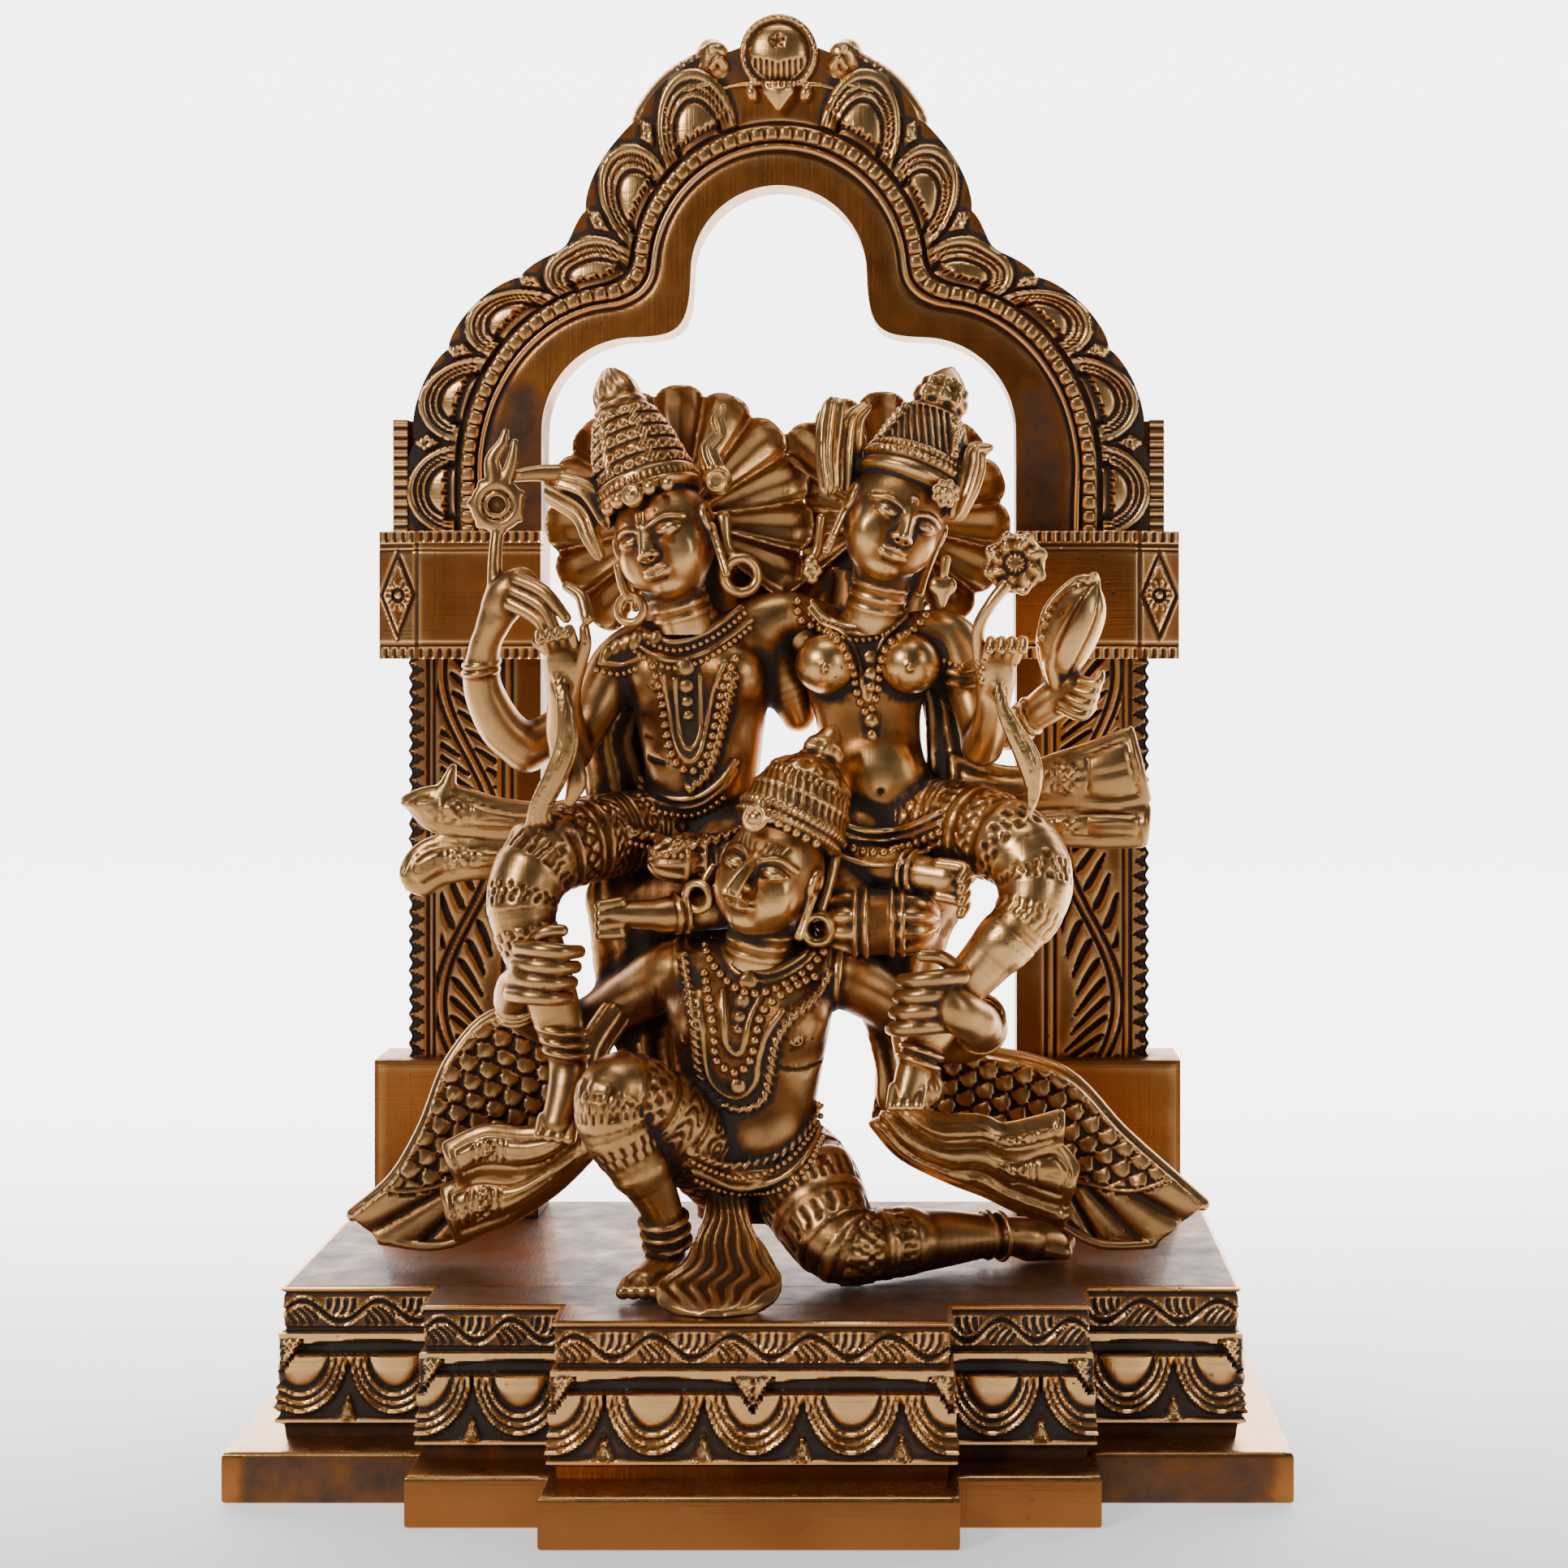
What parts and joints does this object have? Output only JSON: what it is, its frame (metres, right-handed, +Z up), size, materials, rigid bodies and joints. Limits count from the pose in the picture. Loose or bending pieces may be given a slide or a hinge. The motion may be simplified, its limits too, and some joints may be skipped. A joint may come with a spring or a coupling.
{
  "type": "vishnu on garuda statue",
  "caption": "Cast brass statue of Vishnu and Lakshmi riding on kneeling Garuda, on a stepped lotus plinth before a cusped arch frame.",
  "frame": {"origin": "centre of the plinth's underside", "axes": "+Z up to the crest of the arch, -Y the front that the figures face, +X the viewer's right"},
  "size_m": [0.294, 0.17, 0.4324],
  "materials": {
    "plinth_brass": "polished antique brass, dark in the carving",
    "frame_brass": "brushed antique brass, dark in the carving",
    "figure_brass": "antique brass, rubbed bright on high places and dark brown in the hollows"
  },
  "bodies": {
    "root": {"plinth": "plinth_brass", "back_frame": "frame_brass", "figure_group": "figure_brass"}
  },
  "joints": []
}
